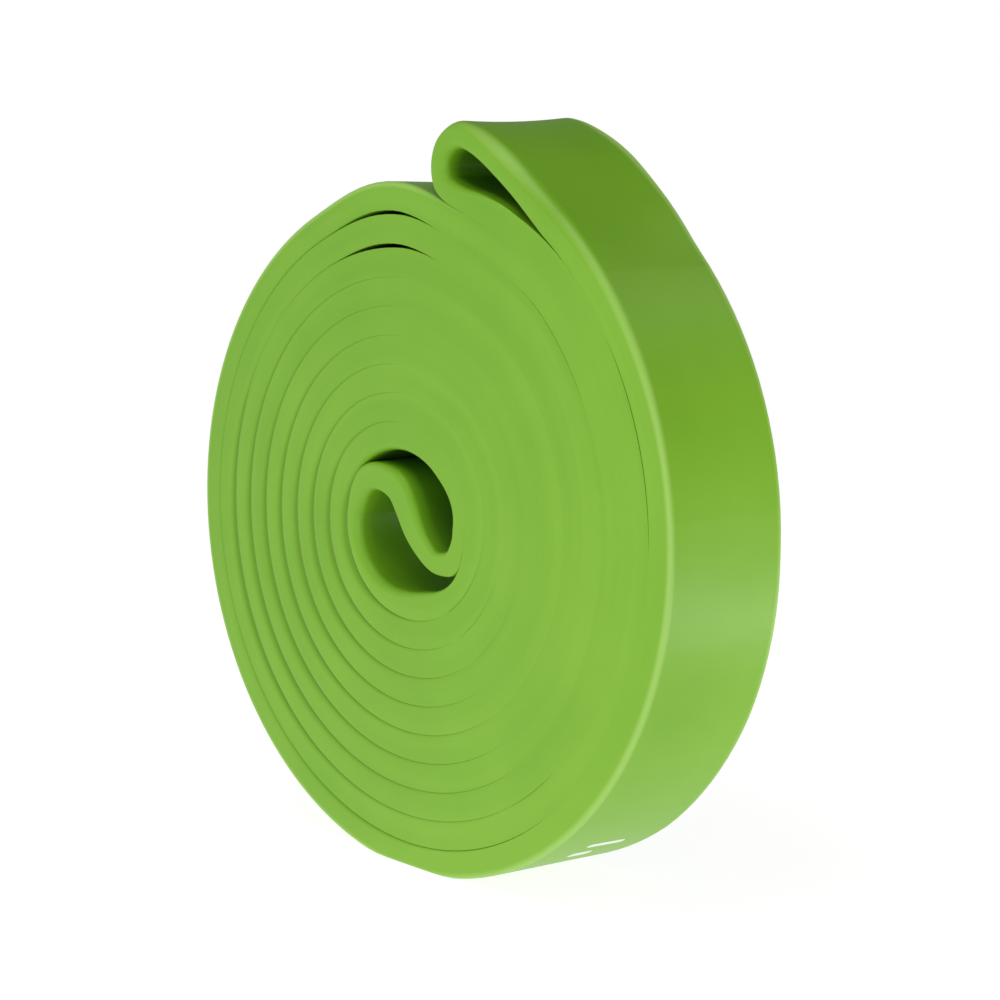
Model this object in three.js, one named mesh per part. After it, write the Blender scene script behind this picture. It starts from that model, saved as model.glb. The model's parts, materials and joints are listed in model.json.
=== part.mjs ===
// A loop resistance band: one closed, flat loop of latex, folded flat into two strands and rolled up on edge.
// The two strands wind outwards side by side from an S-shaped fold in the core to a free fold on top of the roll.
// The last third of a turn peels off the roll, so it is cut into short sections that hinge on one another.
//
// Millimetres, +Z up. The roll stands on its rim with its axis along Y, and the origin is under its middle, on the
// surface that it stands on. Angles are in degrees, counted from +X towards +Z, and keep counting up turn by turn
// from the core: 0 is where the outer strand leaves the core fold.
import * as THREE from "three";

// The band's own section, as it lies in the roll.
const BAND_WIDTH = 21.7;
const BAND_THICKNESS = 4.2;
const AIR_GAP = 0.2; // between one layer and the next
const PITCH = BAND_THICKNESS + AIR_GAP;

// The roll.
const CORE_RADIUS = 9.41;
const STEP = 6; // the angle between two cuts across the layers
const OUTER_STRAND = 0.5; // how far each strand lies from the middle of the pair, in layers
const INNER_STRAND = -0.5;
const OUTER_START = 0;
const INNER_START = 180;
const LAST_TURN = 1440; // the angle at which the free turn begins
const OVAL = 0.93; // the roll is wider than it is tall
const OVAL_TILT = 7;
const REST_HEIGHT = 53.9; // the middle of the core above the surface, with the rim pressed flat there

// The free fold presses the layers under it in: the further out they lie, the more, up to the full angle.
const PRESS = { depth: 1.1, at: 68.5, reach: 23, full: 1500 };

// Where both strands arch up, just past the free fold, and how high.
const ARCHES = [
  { strand: OUTER_STRAND, height: 1.25, at: LAST_TURN + 96, reach: 21 },
  { strand: INNER_STRAND, height: 0.65, at: LAST_TURN + 96, reach: 21 },
];

// The S-shaped fold squeezes the first turn of each strand thinner, on its inner face.
const SQUEEZES = [
  { strand: OUTER_STRAND, height: 1.2, at: 5, reach: 45 },
  { strand: INNER_STRAND, height: 1, at: 325, reach: 40 },
];

// The free turn: where each section hinges on the one before it.
const PEEL_START = LAST_TURN + 330;
const SECTION_ANGLE = 18;
const SECTIONS = 4;
const CUT_GAP = 0.3;

// The free fold: where it starts, and where the outer strand turns into its curve and the inner one comes out of it.
const FOLD_START = PEEL_START + SECTIONS * SECTION_ANGLE;
const FOLD_OUT = LAST_TURN + 360 + 54;
const FOLD_BACK = LAST_TURN + 360 + 60;

// The middle line of the S-shaped fold, from the inner strand to the outer one: x, z and the band's thickness there.
const CORE_FOLD = [
  [-11.6, 3.5, 3.9],
  [-9.15, 5.55, 3.7],
  [-6.0, 6.1, 4.3],
  [-2.25, 4.87, 4.8],
  [-0.05, 2.0, 4.7],
  [1.65, -0.95, 4.3],
  [3.9, -3.5, 3.75],
  [6.85, -5.45, 3.35],
  [9.85, -5.55, 3.6],
  [11.5, -4.85, 3.6],
  [12.4, -3.2, 3.2],
  [12.95, -1.6, 3.1],
];
// The middle line of the free fold, from the outer strand round to the inner one.
const FREE_FOLD = [
  [27.0, 50.7, 4.2],
  [22.9, 53.7, 4.2],
  [18.8, 56.3, 4.1],
  [15.3, 57.9, 4.1],
  [12.3, 58.3, 4.0],
  [9.5, 56.7, 3.5],
  [8.4, 54.1, 3.2],
  [9.0, 51.5, 3.3],
  [11.0, 50.1, 3.2],
  [14.1, 49.1, 3.1],
  [18.3, 47.7, 3.5],
  [22.5, 46.2, 3.9],
];
const SAMPLES_PER_SPAN = 3;

const radians = THREE.MathUtils.degToRad;

// A smooth bump of height 1 at 0 that ends at -1 and 1.
function bump(x) {
  return Math.abs(x) < 1 ? Math.cos((x * Math.PI) / 2) ** 2 : 0;
}

// The height of a strand's bumps at an angle, from a list of bumps.
function bumpHeight(bumps, strand, angle) {
  const own = bumps.filter((one) => one.strand === strand);
  return own.reduce((sum, { height, at, reach }) => sum + height * bump((angle - at) / reach), 0);
}

// How far the free fold presses a strand in.
function pressDepth(strand, angle) {
  if (strand > 0 && angle > PEEL_START) return 0;
  const share = Math.min(1, (angle + strand * 180) / PRESS.full);
  return PRESS.depth * share * bump(((angle % 360) - PRESS.at) / PRESS.reach);
}

// The distance of a strand's middle line from the middle of the core.
function strandRadius(strand, angle) {
  const round = CORE_RADIUS + PITCH * (angle / 180 + strand);
  const oval = OVAL * Math.cos(2 * radians(angle - OVAL_TILT));
  const arch = bumpHeight(ARCHES, strand, angle);
  const squeeze = bumpHeight(SQUEEZES, strand, angle);
  return round + oval + arch - pressDepth(strand, angle) + squeeze / 2;
}

// A point of a middle line: x, z and the band's thickness.
function strandPoint(strand, angle) {
  const radius = strandRadius(strand, angle);
  const thickness = BAND_THICKNESS - bumpHeight(SQUEEZES, strand, angle);
  return new THREE.Vector3(radius * Math.cos(radians(angle)), radius * Math.sin(radians(angle)), thickness);
}

// A station on a middle line: where the line is, and which way it runs there.
function station(pointAt, value, nudge) {
  const ahead = pointAt(value + nudge).sub(pointAt(value - nudge));
  return { point: pointAt(value), along: new THREE.Vector2(ahead.x, ahead.y).normalize() };
}

function reversed(line) {
  return line.map(({ point, along }) => ({ point, along: along.clone().negate() })).reverse();
}

// A strand's middle line between two angles, with a station at the middle of each step and at both ends.
function strandLine(strand, from, to) {
  const angles = [from];
  const first = (Math.round(from / STEP) + 0.5) * STEP;
  for (let angle = first; angle < to - STEP / 4; angle += STEP) angles.push(angle);
  angles.push(to);
  return angles.map((angle) => station((a) => strandPoint(strand, a), angle, STEP / 8));
}

// A fold's middle line: the smooth curve through its own points and the strands' points on either side.
function foldLine(before, points, after) {
  const own = points.map((values) => new THREE.Vector3(...values));
  const nearby = (line) => line.map(({ point }) => point);
  const knots = [...nearby(before.slice(-2)), ...own, ...nearby(after.slice(0, 2))];
  const curve = new THREE.CatmullRomCurve3(knots, false, "catmullrom");
  const samples = (knots.length - 1) * SAMPLES_PER_SPAN;
  const line = [];
  for (let i = SAMPLES_PER_SPAN + 1; i < samples - SAMPLES_PER_SPAN; i++) {
    line.push(station((t) => curve.getPoint(t), i / samples, 0.1 / samples));
  }
  return line;
}

function latex() {
  return new THREE.MeshStandardMaterial({ color: 0x86c046, roughness: 0.55, metalness: 0 });
}

// The band along a middle line: a strip of the band's section, pressed flat where it would reach below the surface.
function bandAlong(name, line) {
  const sides = [1, -1].map((side) =>
    line.map(({ point, along }) => {
      const reach = (side * point.z) / 2;
      return new THREE.Vector2(point.x - along.y * reach, Math.max(point.y + along.x * reach, -REST_HEIGHT));
    }),
  );
  const outline = new THREE.Shape([...sides[0], ...sides[1].reverse()]);
  const geometry = new THREE.ExtrudeGeometry(outline, { depth: BAND_WIDTH, bevelEnabled: false });
  geometry.rotateX(Math.PI / 2);
  geometry.translate(0, BAND_WIDTH / 2, 0);
  const mesh = new THREE.Mesh(geometry, latex());
  mesh.name = name;
  return mesh;
}

// Half of the gap at a cut through a strand, as an angle.
function halfCut(strand, angle) {
  return THREE.MathUtils.radToDeg(CUT_GAP / 2 / strandRadius(strand, angle));
}

// Everything that stays in the roll: both strands up to the free sections, joined by the core fold.
function coil() {
  const outer = strandLine(OUTER_STRAND, OUTER_START, PEEL_START - halfCut(OUTER_STRAND, PEEL_START));
  const inner = strandLine(INNER_STRAND, INNER_START, PEEL_START - halfCut(INNER_STRAND, PEEL_START));
  const inwards = reversed(inner);
  return bandAlong("coil", [...inwards, ...foldLine(inwards, CORE_FOLD, outer), ...outer]);
}

// One free section is a piece of each strand.
function tailSection(number) {
  const from = PEEL_START + (number - 1) * SECTION_ANGLE;
  const to = from + SECTION_ANGLE;
  const piece = (side, strand) =>
    bandAlong(`tail_${number}_${side}`, strandLine(strand, from + halfCut(strand, from), to - halfCut(strand, to)));
  return [piece("outer", OUTER_STRAND), piece("inner", INNER_STRAND)];
}

// The free fold joins the two strands at the end of the roll.
function endFold() {
  const outer = strandLine(OUTER_STRAND, FOLD_START + halfCut(OUTER_STRAND, FOLD_START), FOLD_OUT);
  const inner = reversed(strandLine(INNER_STRAND, FOLD_START + halfCut(INNER_STRAND, FOLD_START), FOLD_BACK));
  return bandAlong("end_fold", [...outer, ...foldLine(outer, FREE_FOLD, inner), ...inner]);
}

const roll = new THREE.Group();
roll.add(coil());
for (let number = 1; number <= SECTIONS; number++) roll.add(...tailSection(number));
roll.add(endFold());

// The roll is made about the middle of its core, and set down with its middle over the origin.
const box = new THREE.Box3().setFromObject(roll);
roll.position.set(-(box.min.x + box.max.x) / 2, 0, REST_HEIGHT);

const band = new THREE.Group();
band.add(roll);

export default band;
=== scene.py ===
"""The looks of a loop resistance band, folded flat and rolled up on edge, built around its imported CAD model.

Every piece is a length of one latex strap. Its middle line lies in the plane of the roll, as a formula on
the strands and a smooth curve at the two folds, and its section is a rectangle with rounded edges. The band's
sizes are in millimetres until a mesh is made. Angles are in degrees, counted up turn by turn from the core.
"""

import json
import math

import bpy
import numpy as np
from mathutils import Matrix, Vector


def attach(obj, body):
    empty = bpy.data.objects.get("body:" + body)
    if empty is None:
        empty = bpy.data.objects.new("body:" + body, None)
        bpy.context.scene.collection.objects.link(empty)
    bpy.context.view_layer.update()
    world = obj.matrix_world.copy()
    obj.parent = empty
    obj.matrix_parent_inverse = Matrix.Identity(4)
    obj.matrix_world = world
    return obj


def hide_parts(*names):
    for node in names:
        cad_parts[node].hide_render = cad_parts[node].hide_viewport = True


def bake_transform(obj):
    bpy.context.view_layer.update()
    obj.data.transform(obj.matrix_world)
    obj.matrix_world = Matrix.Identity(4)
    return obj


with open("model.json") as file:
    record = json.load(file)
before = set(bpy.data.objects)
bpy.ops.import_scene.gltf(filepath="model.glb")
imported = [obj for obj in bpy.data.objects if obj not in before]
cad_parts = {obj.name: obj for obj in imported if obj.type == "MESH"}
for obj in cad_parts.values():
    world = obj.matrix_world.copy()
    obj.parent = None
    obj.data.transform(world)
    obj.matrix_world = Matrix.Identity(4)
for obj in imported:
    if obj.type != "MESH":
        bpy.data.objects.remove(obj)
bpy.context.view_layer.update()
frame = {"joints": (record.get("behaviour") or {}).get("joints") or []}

MM = 0.001

# The band and the roll, as in the part. A bump of a strand is its strand, height, angle and reach.
BAND_WIDTH = 21.7
BAND_THICKNESS = 4.2
PITCH = 4.4
CORE_RADIUS = 9.41
OUTER, INNER = 0.5, -0.5
OUTER_START, INNER_START = 0, 180
LAST_TURN = 1440
OVAL, OVAL_TILT = 0.93, 7
PRESS_DEPTH, PRESS_AT, PRESS_REACH, PRESS_FULL = 1.1, 68.5, 23, 1500
ARCHES = [(OUTER, 1.25, LAST_TURN + 96, 21), (INNER, 0.65, LAST_TURN + 96, 21)]
SQUEEZES = [(OUTER, 1.2, 5, 45), (INNER, 1.0, 325, 40)]
PEEL_START = LAST_TURN + 330
SECTION_ANGLE = 18
SECTIONS = 4
FOLD_START = PEEL_START + SECTIONS * SECTION_ANGLE
FOLD_OUT = LAST_TURN + 360 + 54
FOLD_BACK = LAST_TURN + 360 + 60

# The layers touch here, where the part leaves a little air between them.
AIR_LEFT = 0.005
SWELLING = PITCH - AIR_LEFT - BAND_THICKNESS
# The inner strand's first turn is thinner than in the part, on the side of the left hollow.
HOLLOWED = (INNER, 1.5, 205, 85)

# How far the band's inner edges are rounded where two layers meet, going round the roll: angle and rounding.
GROOVES = [(0, 0.005), (86, 0.005), (104, 0.3), (125, 0.6), (155, 1.1), (182, 1.9), (205, 2.1), (226, 1.8),
           (246, 1.1), (275, 0.5), (300, 0.25), (311, 0.005)]
CRISPER = 0.4  # the outer edge that each of them meets is rounded by this share of that
GROOVE_DEPTH = 0.3  # how deep these roundings go, as a share of how wide they are
# Where a groove differs from the others: its number, first and last angle, and the rounding there.
EXCEPTIONS = [(8, 26, 56, 0.3), (10, 2, 33, 0.3), (7, 303, 316, 0.4), (8, 104, 250, 0.4), (7, 118, 160, 0.3)]
# The rounding of the outer rim of the last turn, and how broadly that rim is paled by a painted highlight and
# bloom.
RIM = [(1508, 0.005), (1520, 0.6), (1710, 0.5), (1790, 0.4), (1815, 0.55), (1837, 1.2), (1854, 2.1)]
RIM_BLOOM_AND_SHEEN = [(1508, 0), (1528, 1), (1815, 1), (1854, 1.5)]
# The rounding of the inner faces that look into the core's two hollows.
OUTER_HOLLOW = [(0, 0.8), (60, 0.8), (110, 1.1)]
INNER_HOLLOW = [(180, 1.6), (225, 1.6), (262, 1.2), (290, 0.8), (325, 0.3)]
BACK_EDGE = 0.6  # the most that an edge is rounded on the back

# The two folds: x, z, the band's thickness, and how far its right and left edges are rounded. Then, where
# they aren't 0, come how much further out the back edge lies than the front edge, how far the middle sinks
# in between them, as a strap does where it bends tightly, and how broadly the outer edge is paled by a painted
# highlight and bloom.
CORE_FOLD = [
    (-11.6, 3.5, 4.0, 1.2, 0.6),
    (-9.4, 5.75, 4.35, 1.0, 0.7),
    (-6.0, 6.1, 4.4, 0.8, 0.9, -0.7),
    (-2.25, 4.87, 4.9, 0.7, 1.1, -0.9),
    (-0.05, 2.0, 4.8, 0.7, 1.2),
    (1.65, -0.95, 4.4, 0.7, 1.1),
    (3.9, -3.5, 3.85, 0.7, 1.0),
    (6.85, -5.45, 3.45, 0.6, 0.8),
    (9.85, -5.55, 3.7, 0.4, 0.8),
    (11.5, -4.85, 3.9, 0.005, 0.8),
    (12.4, -3.2, 3.5, 0.005, 0.8),
    (12.95, -1.6, 3.3, 0.005, 0.8),
]
FREE_FOLD = [
    (27.0, 50.7, 4.3, 2.2, 0.85, 2.1, 0.1, 1.8),
    (22.9, 53.7, 4.3, 2.2, 0.85, 1.9, 0.2, 2.0),
    (18.8, 56.3, 4.2, 2.1, 0.9, 1.3, 0.35, 1.9),
    (15.3, 57.9, 4.1, 1.8, 1.0, 0.8, 0.45, 1.6),
    (12.3, 58.3, 4.0, 1.4, 1.2, 0.5, 0.4, 1.2),
    (9.5, 56.7, 3.5, 0.8, 1.4, 0.2, 0.4, 0.8),
    (8.4, 54.1, 3.2, 0.6, 1.5, 0, 0.2, 0.4),
    (9.0, 51.5, 3.3, 0.4, 1.3, 0, 0.1, 0),
    (11.0, 50.1, 3.35, 0.1, 1.1, 0, 0, 0),
    (14.05, 49.0, 3.45, 0.005, 0.9, 0, 0, 0),
    (18.3, 47.75, 4.1, 0.005, 0.5, 0, 0, 0),
    (22.5, 46.25, 4.45, 0.005, 0.005, 0, 0, 0),
]
# The twist of the last turn: the angle, and how much further out its back edge lies.
TWIST = [(1500, 0), (1536, -0.5), (1560, 0), (1716, 0), (1732, 0.5), (1750, 1.0), (1775, 0.8), (1800, 0),
         (1846, 0.2), (1856, 1.7)]

FOOT_SOFTNESS = 0.12  # how gently the rim turns into the part that is pressed flat

STEP = 2.5  # the angle between two stations on a strand
END_STEP = 0.25  # and between the last two at each end
FOLD_SAMPLES = 9  # stations between two points of a fold
CORNER_POINTS = 8
FACE_POINTS = 9

# The latex where it is light and dark in tone, with painted shade in the grooves and darker painted shade in
# the hollows, paler where a painted highlight and bloom lie along its edges, and the printed ink.
LIGHT_LATEX = (0.193, 0.428, 0.018, 1)
DARK_LATEX = (0.14, 0.35, 0.006, 1)
GROOVE_SHADE_LATEX = (0.115, 0.28, 0.002, 1)
HOLLOW_SHADE_LATEX = (0.04, 0.14, 0.002, 1)
BLOOM_AND_SHEEN_LATEX = (0.34, 0.58, 0.12, 1)
MARK_WHITE = (0.8, 0.82, 0.78, 1)
HIDING_DISTANCE = 12  # the latex darkens where other latex this near hides it from the light
# The printed bars: where their middle lies along the band from the first hinge and across the band, half of
# the length between their round ends, and their radius.
MARK_BARS = [(-22.6, 1.0, 2.9, 0.65), (-26.6, -1.0, 1.2, 0.95)]

# The camera: azimuth and elevation, distance from the target, lens, and where the target is from the core.
CAMERA_AZIMUTH, CAMERA_ELEVATION = 49.94, 7.86
CAMERA_DISTANCE = 363.66
CAMERA_LENS = 90.04
CAMERA_TARGET = (22.984, -BAND_WIDTH / 2, 5.668)
# The softboxes, in metres: the way to each from the roll's middle, distance, width, height and radiance.
ROLL_MIDDLE = (0.0, 0.0, 0.057)
SOFTBOXES = {
    "front_softbox": ((0.60, -0.80, -0.05), 0.5, 0.3, 0.2, 2.2),
    "rim_softbox": ((0.14, -0.42, 0.90), 0.9, 0.3, 0.2, 6.5),
    "shoulder_softbox": ((0.34, 0.64, 0.69), 0.9, 0.22, 0.16, 3.4),
}

# The columns of a line's stations. DEPTH is how deep the roundings go, as a share of how wide they are,
# and the eighth column is how broadly the edge is paled by a painted highlight and bloom.
X, Z, THICKNESS, RIGHT_EDGE, LEFT_EDGE, LIFT, CURL, BLOOM_AND_SHEEN, DEPTH = range(9)


def bump(x):
    """A smooth bump of height 1 at 0 that ends at -1 and 1."""
    return np.where(np.abs(x) < 1, np.cos(np.asarray(x) * math.pi / 2) ** 2, 0.0)


def ramp(x):
    """0 below 0, 1 above 1, and smooth between them."""
    t = np.clip(x, 0, 1)
    return t * t * (3 - 2 * t)


def table(rows, angle):
    """The value at some angles, straight between the rows of a table of angles and values."""
    angles, values = zip(*rows)
    return np.interp(angle, angles, values)


def bump_height(bumps, strand, angle):
    """The height of a strand's bumps at some angles, from a list of bumps."""
    return sum(height * bump((angle - at) / reach) for one, height, at, reach in bumps if one == strand)


def strand_middle(strand, angle):
    """A strand's middle line at some angles, from the middle of the core: x, z and the part's thickness."""
    angle = np.asarray(angle, float)
    radius = CORE_RADIUS + PITCH * (angle / 180 + strand)
    radius += OVAL * np.cos(2 * np.radians(angle - OVAL_TILT))
    pressed = PRESS_DEPTH * bump((angle % 360 - PRESS_AT) / PRESS_REACH)
    share = (angle + 180 * strand) / PRESS_FULL
    lifted = (strand > 0) & (angle > PEEL_START)
    radius -= pressed * np.where(lifted, 0, np.minimum(1, share))
    radius += bump_height(ARCHES, strand, angle)
    squeeze = bump_height([*SQUEEZES, HOLLOWED], strand, angle)
    radius += squeeze / 2
    squeeze = squeeze + np.where(share < 1, pressed * 180 / PRESS_FULL, 0)
    a = np.radians(angle)
    return np.stack([radius * np.cos(a), radius * np.sin(a), BAND_THICKNESS - squeeze], -1)


def place_of_the_core():
    """The middle of the core in the row frame, found from the first hinge, on the outer face at its cut."""
    x, z, thickness = strand_middle(OUTER, PEEL_START)
    outer_face = 1 + thickness / 2 / math.hypot(x, z)
    hinge = Vector(frame["joints"][0]["pos_m"])
    return Vector((hinge.x - x * outer_face * MM, 0, hinge.z - z * outer_face * MM))


CORE = place_of_the_core()


class Line:
    """A stretch of the band's middle line: a row of values for each station, and the way it runs there."""

    def __init__(self, stations, along):
        self.stations, self.along = stations, along

    def reversed(self):
        stations = self.stations[::-1].copy()
        stations[:, [RIGHT_EDGE, LEFT_EDGE]] = stations[:, [LEFT_EDGE, RIGHT_EDGE]]
        stations[:, [LIFT, CURL]] *= -1
        return Line(stations, -self.along[::-1])

    def __add__(self, other):
        stations = np.concatenate([self.stations, other.stations])
        return Line(stations, np.concatenate([self.along, other.along]))


def groove(number, angle):
    """How far edges are rounded at some angles in the groove with this number, counted from the core."""
    edge = table(GROOVES, angle % 360)
    for one, first, last, rounding in EXCEPTIONS:
        inside = np.sin(math.pi * np.clip((angle % 360 - first) / (last - first), 0, 1)).clip(0) ** 0.5
        edge += np.where(number == one, (rounding - edge) * inside, 0)
    return edge


def hollowness(strand, angle):
    """1 where a strand's inner face looks into one of the core's hollows, and 0 past that."""
    return ramp((150 - angle) / 25) if strand > 0 else ramp((345 - angle) / 20)


def strand_edges(strand, angle):
    """How far a strand's edges are rounded on its outer and its inner face."""
    number = np.round((angle - angle % 360) / 180 + strand + 0.5)
    outer, inner = groove(number, angle) * CRISPER, groove(number - 1, angle)
    if strand > 0:
        outer = np.where(angle > RIM[0][0], table(RIM, angle), outer)
    hollow = table(OUTER_HOLLOW if strand > 0 else INNER_HOLLOW, angle)
    inner += (hollow - inner) * hollowness(strand, angle)
    return outer, inner


def strand_line(strand, start, stop):
    """A strand between two angles, with a short first and last step so that neighbours shade as one."""
    count = max(2, round((stop - start - 2 * END_STEP) / STEP) + 1)
    angle = np.concatenate([[start], np.linspace(start + END_STEP, stop - END_STEP, count), [stop]])
    nudge = 0.2
    along = (strand_middle(strand, angle + nudge) - strand_middle(strand, angle - nudge))[:, :2]
    along /= np.linalg.norm(along, axis=1)[:, None]
    x, z, thickness = strand_middle(strand, angle).T
    outer_edge, inner_edge = strand_edges(strand, angle)
    lift = table(TWIST, angle) * (strand > 0)
    # how broadly the rim gets its painted highlight and bloom
    bloom_and_sheen = table(RIM_BLOOM_AND_SHEEN, angle) * (strand > 0)
    rim = ramp((angle - RIM[0][0]) / 20) * (strand > 0)
    depth = GROOVE_DEPTH + (1 - GROOVE_DEPTH) * np.maximum(rim, hollowness(strand, angle))
    values = [x, z, thickness + SWELLING, outer_edge, inner_edge, lift, 0 * x, bloom_and_sheen, depth]
    return Line(np.stack(values, -1), along)


def curve(knots, u):
    """The smooth curve through some knots, at places counted in knots."""
    i = np.clip(u.astype(int), 1, len(knots) - 3)
    t = (u - i)[:, None]
    a, b, c, d = (knots[i + k] for k in (-1, 0, 1, 2))
    return b + (c - a) * t / 2 + (2 * a - 5 * b + 4 * c - d) * t**2 / 2 + (3 * (b - c) + d - a) * t**3 / 2


def fold_line(before, points, after):
    """A fold: the smooth curve through its own points, from the end of one line to the start of another."""
    own = np.zeros((len(points), DEPTH + 1))
    for row, point in zip(own, points):
        row[: len(point)] = point
    own[:, DEPTH] = 1
    knots = np.concatenate([before.stations[[-4, -1]], own, after.stations[[0, 3]]])
    u = np.linspace(1, len(knots) - 2, (len(knots) - 3) * FOLD_SAMPLES + 1)[1:-1]
    stations = curve(knots, u)
    stations[:, [RIGHT_EDGE, LEFT_EDGE]] = stations[:, [RIGHT_EDGE, LEFT_EDGE]].clip(AIR_LEFT)
    nudge = 0.01
    along = (curve(knots, u + nudge) - curve(knots, u - nudge))[:, :2]
    along /= np.linalg.norm(along, axis=1)[:, None]
    return Line(stations, along)


def sections(stations):
    """The band's section at each station: how far right of the line each point lies, and its Y."""
    half = stations[:, THICKNESS, None] / 2
    across, y = [], []
    corners = [(1, -1, RIGHT_EDGE), (1, 1, RIGHT_EDGE), (-1, 1, LEFT_EDGE), (-1, -1, LEFT_EDGE)]
    for number, (side, end, column) in enumerate(corners):
        edge = stations[:, column, None]
        if end > 0:
            edge = np.minimum(edge, BACK_EDGE)
        turn = np.radians(np.linspace(0, 90, CORNER_POINTS) + 90 * (number - 1))
        across.append(side * (half - edge) + edge * np.cos(turn))
        deep = edge * stations[:, DEPTH, None]
        y.append(end * (BAND_WIDTH / 2 - deep) + deep * np.sin(turn))
    for number in (1, 3):  # the band's two faces lie after its first and third corner
        share = np.linspace(0, 1, FACE_POINTS + 2)[1:-1]
        here, there = y[number - 1][:, -1:], y[number][:, :1]
        y[number] = np.concatenate([here + (there - here) * share, y[number]], 1)
        face = np.repeat(across[number - 1][:, -1:], FACE_POINTS, 1)
        across[number] = np.concatenate([face, across[number]], 1)
    return np.concatenate(across, 1), np.concatenate(y, 1)


class Strap:
    """A piece of the band, made of one or more lengths, each closed at both ends."""

    def __init__(self, name):
        self.name, self.vertices, self.faces, self.places, self.bloom_sheen_and_shade = name, [], [], [], []

    def add(self, line, length=0.0, direction=1):
        """Adds a length of band from a distance along the whole strap, and returns where it ends."""
        across, y = sections(line.stations)
        x, z, lift, curl = (line.stations[:, column, None] for column in (X, Z, LIFT, CURL))
        ax, az = line.along.T[:, :, None]
        out = across + lift * (y / BAND_WIDTH + 0.5) - curl * (1 - (2 * y / BAND_WIDTH) ** 2)
        above = z - out * ax + CORE.z / MM
        height = (above + np.hypot(above, FOOT_SOFTNESS)) / 2 - CORE.z / MM
        steps = np.linalg.norm(np.diff(line.stations[:, :2], axis=0), axis=1)
        lengths = length + direction * np.concatenate([[0], np.cumsum(steps)])
        first = sum(len(part) for part in self.vertices)
        count, ring = across.shape
        place = [CORE.x / MM + x + out * az, y, CORE.z / MM + height]
        self.vertices.append(np.stack(place, -1).reshape(-1, 3))
        self.places.append(np.stack([np.repeat(lengths[:, None], ring, 1), y, across], -1).reshape(-1, 3))
        # how much painted shade the grooves get here
        groove_shade = (1 - line.stations[:, DEPTH]) / (1 - GROOVE_DEPTH)
        bloom_sheen_and_shade = np.stack([line.stations[:, BLOOM_AND_SHEEN], groove_shade, 0 * groove_shade], -1)  # painted highlight and bloom, and painted groove shade
        self.bloom_sheen_and_shade.append(np.repeat(bloom_sheen_and_shade, ring, 0))
        numbers = first + np.arange(count * ring).reshape(count, ring)
        here, there = numbers[:-1], numbers[1:]
        around = [here, there, np.roll(there, -1, 1), np.roll(here, -1, 1)]
        self.faces += np.stack(around, -1).reshape(-1, 4).tolist()
        self.faces += [numbers[0].tolist(), numbers[-1][::-1].tolist()]
        return lengths[-1]

    def finish(self, material):
        """Makes the piece's object, with a sharp edge round each of its ends."""
        vertices = np.concatenate(self.vertices)
        mesh = bpy.data.meshes.new(self.name)
        mesh.from_pydata(vertices * MM, [], self.faces)
        mesh.polygons.foreach_set("use_smooth", [True] * len(self.faces))
        places, bloom_sheen_and_shade = np.concatenate(self.places), np.concatenate(self.bloom_sheen_and_shade)
        for label, values in (("strap_place", places), ("rest_place", vertices), ("bloom_sheen_and_shade", bloom_sheen_and_shade)):
            attribute = mesh.attributes.new(label, "FLOAT_VECTOR", "POINT")
            attribute.data.foreach_set("vector", values.astype(np.float32).ravel())
        ends = [face for face in mesh.polygons if len(face.vertices) > 4]
        rims = {key for end in ends for key in end.edge_keys}
        sharp = mesh.attributes.new("sharp_edge", "BOOLEAN", "EDGE")
        sharp.data.foreach_set("value", [edge.key in rims for edge in mesh.edges])
        mesh.materials.append(material)
        piece = bpy.data.objects.new(self.name, mesh)
        bpy.context.scene.collection.objects.link(piece)
        shading = piece.modifiers.new("even_shading", "WEIGHTED_NORMAL")
        shading.keep_sharp = True
        return piece


class Nodes:
    """Adds nodes to a node tree and joins them up."""

    def __init__(self, tree):
        self.tree = tree

    def add(self, kind, inputs=(), **settings):
        node = self.tree.nodes.new(kind)
        for name, value in settings.items():
            setattr(node, name, value)
        for socket, value in dict(inputs).items():
            if isinstance(value, bpy.types.NodeSocket):
                self.tree.links.new(value, node.inputs[socket])
            else:
                node.inputs[socket].default_value = value
        return node

    def mix(self, share, first, second):
        inputs = {0: share, 6: first, 7: second}
        return self.add("ShaderNodeMix", inputs, data_type="RGBA").outputs[2]

    def math(self, operation, *values, clamp=False):
        return self.add("ShaderNodeMath", enumerate(values), operation=operation, use_clamp=clamp).outputs[0]


def printed_mark(nodes, length, y, across):
    """1 inside the two white bars printed on the outer face, and 0 outside them."""
    marked = None
    for middle, side, half, radius in MARK_BARS:
        along = nodes.math("SUBTRACT", length, middle)
        beyond = nodes.math("SUBTRACT", nodes.math("ABSOLUTE", nodes.math("SUBTRACT", y, side)), half)
        beyond = nodes.math("MAXIMUM", beyond, 0.0)
        squared = nodes.math("MULTIPLY_ADD", along, along, nodes.math("MULTIPLY", beyond, beyond))
        inside = nodes.math("LESS_THAN", squared, radius**2)
        marked = inside if marked is None else nodes.math("MAXIMUM", marked, inside)
    return nodes.math("MULTIPLY", marked, nodes.math("GREATER_THAN", across, BAND_THICKNESS / 2))


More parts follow.
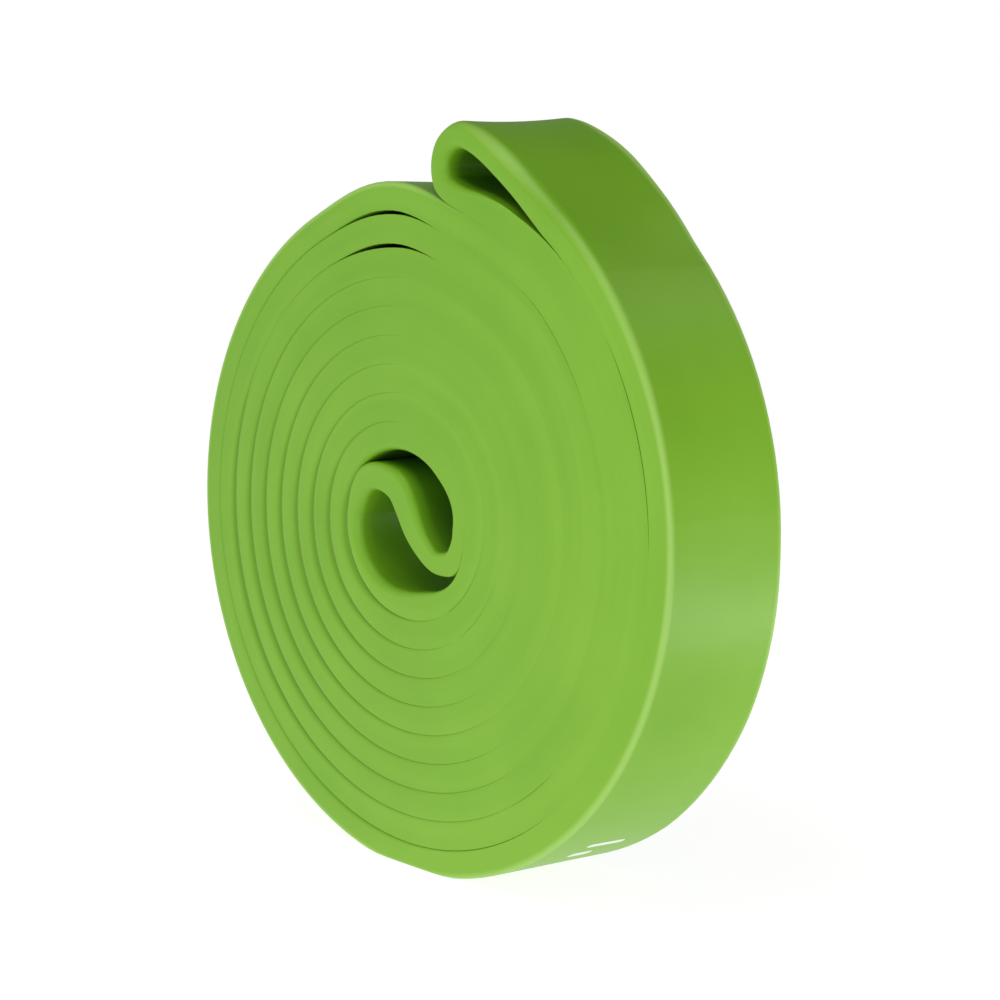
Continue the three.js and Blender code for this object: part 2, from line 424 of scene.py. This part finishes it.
def uneven_tone(nodes, strap, place, grain):
    """Green that is a little darker here and there, along the layers, and towards the upper left."""
    stretch = {0: strap, 1: (0.012, 0.05, 0.35)}
    stretched = nodes.add("ShaderNodeVectorMath", stretch, operation="MULTIPLY").outputs[0]
    bands = nodes.add("ShaderNodeTexNoise", {"Vector": stretched, "Scale": 1.0, "Detail": 2.0}).outputs[0]
    mottle = nodes.add("ShaderNodeTexNoise", {"Vector": place, "Scale": 0.045, "Detail": 3.0}).outputs[0]
    x, _, z = nodes.add("ShaderNodeSeparateXYZ", {0: place}).outputs
    tone = nodes.math("MULTIPLY_ADD", nodes.math("SUBTRACT", x, z), 0.005, 0.3)
    tone = nodes.math("MULTIPLY_ADD", bands, 0.9, nodes.math("MULTIPLY_ADD", mottle, 1.1, tone))
    tone = nodes.math("MULTIPLY_ADD", grain, 0.12, nodes.math("SUBTRACT", tone, 0.6), clamp=True)
    return nodes.mix(tone, DARK_LATEX, LIGHT_LATEX)


def paint_bloom_sheen_and_shade(nodes, colour, y, across):
    """A colour made pale on the rim by a painted highlight and bloom, with painted shade in the grooves and
    the darkest painted shade deep in the hollows.
    """
    bloom_sheen_and_shade = nodes.add("ShaderNodeAttribute", attribute_name="bloom_sheen_and_shade").outputs["Vector"]
    bloom_and_sheen, groove_shade, _ = nodes.add("ShaderNodeSeparateXYZ", {0: bloom_sheen_and_shade}).outputs
    aside = nodes.math("ABSOLUTE", y)
    edge = nodes.math("SUBTRACT", nodes.math("ADD", across, aside), (BAND_THICKNESS + BAND_WIDTH) / 2)
    # paler where a painted highlight and bloom lie along the edges
    colour = nodes.mix(nodes.math("MULTIPLY_ADD", bloom_and_sheen, 0.9, edge, clamp=True), colour, BLOOM_AND_SHEEN_LATEX)
    sunk = nodes.math("MULTIPLY_ADD", aside, -6.0, 3 * BAND_WIDTH, clamp=True)
    # painted shade in the grooves between layers
    colour = nodes.mix(nodes.math("MULTIPLY", sunk, groove_shade, clamp=True), colour, GROOVE_SHADE_LATEX)
    # the darkest painted shade, deep in the hollows where other latex is near
    near = {"Distance": HIDING_DISTANCE * MM}
    seen = nodes.add("ShaderNodeAmbientOcclusion", near, samples=8).outputs["AO"]
    hidden = nodes.math("MULTIPLY", nodes.math("SUBTRACT", 1.0, seen), 1.3, clamp=True)
    deep = nodes.math("MULTIPLY_ADD", aside, -0.4, 0.2 * BAND_WIDTH - 0.3, clamp=True)
    return nodes.mix(nodes.math("MULTIPLY", hidden, deep), colour, HOLLOW_SHADE_LATEX)


def latex(mark_from):
    """Satin green latex, with a mark printed on it from this distance along the strap."""
    material = bpy.data.materials.new("latex")
    material.use_nodes = True
    nodes = Nodes(material.node_tree)
    strap = nodes.add("ShaderNodeAttribute", attribute_name="strap_place").outputs["Vector"]
    place = nodes.add("ShaderNodeAttribute", attribute_name="rest_place").outputs["Vector"]
    length, y, across = nodes.add("ShaderNodeSeparateXYZ", {0: strap}).outputs
    grain = nodes.add("ShaderNodeTexNoise", {"Vector": place, "Scale": 0.9, "Detail": 2.0}).outputs[0]
    colour = paint_bloom_sheen_and_shade(nodes, uneven_tone(nodes, strap, place, grain), y, across)
    mark = printed_mark(nodes, nodes.math("SUBTRACT", length, mark_from), y, across)
    colour = nodes.mix(mark, colour, MARK_WHITE)
    relief = {"Height": grain, "Strength": 0.1, "Distance": 0.1 * MM}
    normal = nodes.add("ShaderNodeBump", relief).outputs[0]
    shader = material.node_tree.nodes["Principled BSDF"]
    shader.inputs["Roughness"].default_value = 0.42
    shader.inputs["Specular IOR Level"].default_value = 0.35
    material.node_tree.links.new(colour, shader.inputs["Base Color"])
    material.node_tree.links.new(normal, shader.inputs["Normal"])
    return material


def outer_hinge(number):
    return Vector(frame["joints"][number]["pos_m"])


def bend(piece):
    """Bakes a piece's transform into its mesh."""
    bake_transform(piece)


def lay_coil():
    """Everything that stays in the roll: its piece, and how far along the strap its outer strand ends."""
    outer = strand_line(OUTER, OUTER_START, PEEL_START)
    inner = strand_line(INNER, INNER_START, PEEL_START).reversed()
    strap = Strap("coil_band")
    end = strap.add(inner + fold_line(inner, CORE_FOLD, outer) + outer)
    return strap, end


def make_band():
    """Makes all the pieces of the band, and sets the coil on the roll's body."""
    strap, outer_end = lay_coil()
    inner_end = 0.0
    material = latex(outer_end)
    coil = strap.finish(material)
    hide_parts("coil")
    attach(coil, "roll")
    for number in range(SECTIONS):
        start = PEEL_START + number * SECTION_ANGLE
        stop = start + SECTION_ANGLE
        strap = Strap(f"tail_{number + 1}_band")
        outer_end = strap.add(strand_line(OUTER, start, stop), outer_end)
        inner_end = strap.add(strand_line(INNER, start, stop), inner_end, -1)
        piece = strap.finish(material)
        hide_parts(f"tail_{number + 1}_outer", f"tail_{number + 1}_inner")
        bend(piece)
    outer = strand_line(OUTER, FOLD_START, FOLD_OUT)
    inner = strand_line(INNER, FOLD_START, FOLD_BACK).reversed()
    strap = Strap("end_fold_band")
    strap.add(outer + fold_line(outer, FREE_FOLD, inner) + inner, outer_end)
    end = strap.finish(material)
    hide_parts("end_fold")
    last = outer_hinge(SECTIONS)
    forward = last - outer_hinge(SECTIONS - 1)
    forward.rotate(Matrix.Rotation(-math.radians(SECTION_ANGLE), 3, "Y"))
    bend(end)


def make_camera():
    azimuth, elevation = math.radians(CAMERA_AZIMUTH), math.radians(CAMERA_ELEVATION)
    flat = math.cos(elevation)
    back = Vector((math.sin(azimuth) * flat, -math.cos(azimuth) * flat, math.sin(elevation)))
    target = CORE + Vector(CAMERA_TARGET) * MM
    camera = bpy.data.objects.new("camera", bpy.data.cameras.new("camera"))
    camera.data.lens = CAMERA_LENS
    camera.data.sensor_width = 36
    camera.location = target + back * CAMERA_DISTANCE * MM
    camera.rotation_mode = "QUATERNION"
    camera.rotation_quaternion = (-back).to_track_quat("-Z", "Y")
    bpy.context.scene.collection.objects.link(camera)
    bpy.context.scene.camera = camera


def make_floor():
    """A plain white floor that glows a little, so that its edge can't be seen."""
    mesh = bpy.data.meshes.new("floor")
    half = 3.0
    corners = [(-half, -half, 0), (half, -half, 0), (half, half, 0), (-half, half, 0)]
    mesh.from_pydata(corners, [], [(0, 1, 2, 3)])
    material = bpy.data.materials.new("pale_floor")
    material.use_nodes = True
    shader = material.node_tree.nodes["Principled BSDF"]
    shader.inputs["Base Color"].default_value = (0.25, 0.25, 0.25, 1)
    shader.inputs["Roughness"].default_value = 0.9
    shader.inputs["Specular IOR Level"].default_value = 0.0
    shader.inputs["Emission Color"].default_value = (1, 1, 1, 1)
    shader.inputs["Emission Strength"].default_value = 0.9
    mesh.materials.append(material)
    floor = bpy.data.objects.new("floor", mesh)
    bpy.context.scene.collection.objects.link(floor)
    floor.visible_shadow = False


def make_world():
    """White to the camera, and a soft room for the light: bright in front, darker overhead and behind."""
    world = bpy.data.worlds.new("studio")
    bpy.context.scene.world = world
    world.use_nodes = True
    nodes = Nodes(world.node_tree)
    way = nodes.add("ShaderNodeSeparateXYZ", {0: nodes.add("ShaderNodeTexCoord").outputs["Generated"]})
    above = nodes.math("MAXIMUM", way.outputs["Z"], 0.0)
    level = nodes.math("MULTIPLY_ADD", way.outputs["Y"], -0.38, 0.74)
    level = nodes.math("MULTIPLY_ADD", above, -0.5, level)
    level = nodes.math("MAXIMUM", level, 0.12)
    seen = nodes.add("ShaderNodeLightPath").outputs["Is Camera Ray"]
    strength = nodes.add("ShaderNodeMix", {0: seen, 2: level, 3: 1.0}).outputs[0]
    background = world.node_tree.nodes["Background"]
    background.inputs["Color"].default_value = (1, 1, 1, 1)
    world.node_tree.links.new(strength, background.inputs["Strength"])


def add_softbox(name, place, facing, width, height, radiance):
    """A rectangular light that the camera doesn't see, at a place in the row frame, in metres."""
    light = bpy.data.lights.new(name, "AREA")
    light.shape = "RECTANGLE"
    light.size, light.size_y = width, height
    light.energy = radiance * math.pi * width * height
    softbox = bpy.data.objects.new(name, light)
    softbox.location = place
    softbox.rotation_mode = "QUATERNION"
    softbox.rotation_quaternion = Vector(facing).to_track_quat("-Z", "Y")
    softbox.visible_camera = False
    bpy.context.scene.collection.objects.link(softbox)


def make_lights():
    middle = Vector(ROLL_MIDDLE)
    for name, (toward, distance, width, height, radiance) in SOFTBOXES.items():
        place = middle + Vector(toward).normalized() * distance
        add_softbox(name, place, middle - place, width, height, radiance)
    add_softbox("table_glow", (0.14, 0.076, 0.001), (0, 0, 1), 0.07, 0.07, 5.2)


bpy.context.scene.view_settings.view_transform = "Standard"
make_camera()
make_floor()
make_world()
make_lights()
make_band()
